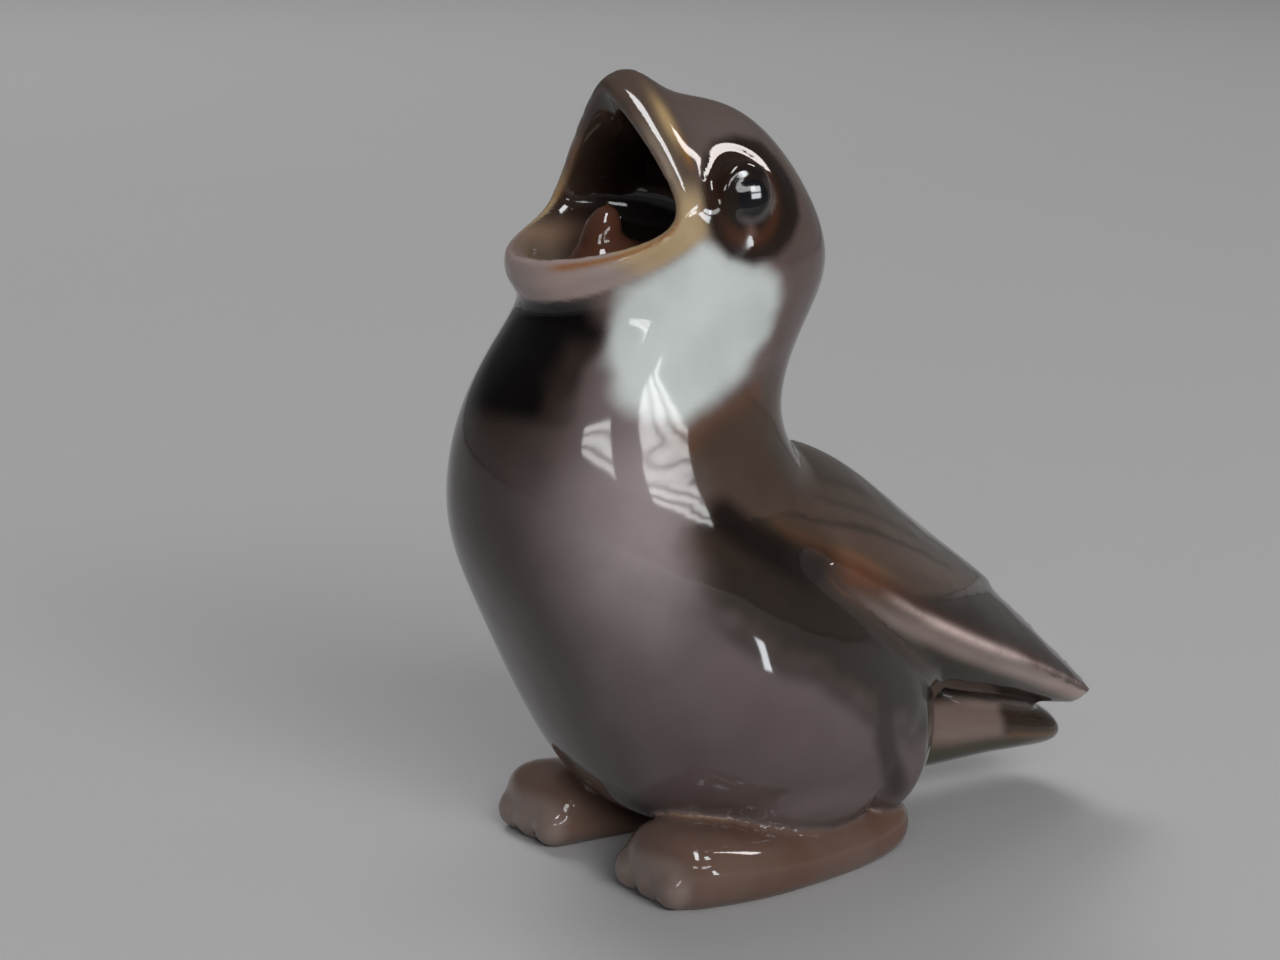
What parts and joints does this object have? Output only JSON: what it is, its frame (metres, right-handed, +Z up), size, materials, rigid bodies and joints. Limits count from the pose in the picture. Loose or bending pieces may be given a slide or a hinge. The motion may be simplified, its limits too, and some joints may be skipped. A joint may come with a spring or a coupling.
{
  "type": "bird figurine",
  "caption": "Glazed porcelain figurine of a fledgling sparrow that stands on flat soles, with its beak held wide open, its wings folded back and a short tail.",
  "frame": {"origin": "on the resting surface, under the middle of the figurine's box", "axes": "+Z up, the bird faces -Y, its left side is +X"},
  "size_m": [0.0398, 0.067, 0.0743],
  "materials": {
    "porcelain": "gloss"
  },
  "bodies": {
    "root": {"porcelain_sparrow": "porcelain"}
  },
  "joints": []
}
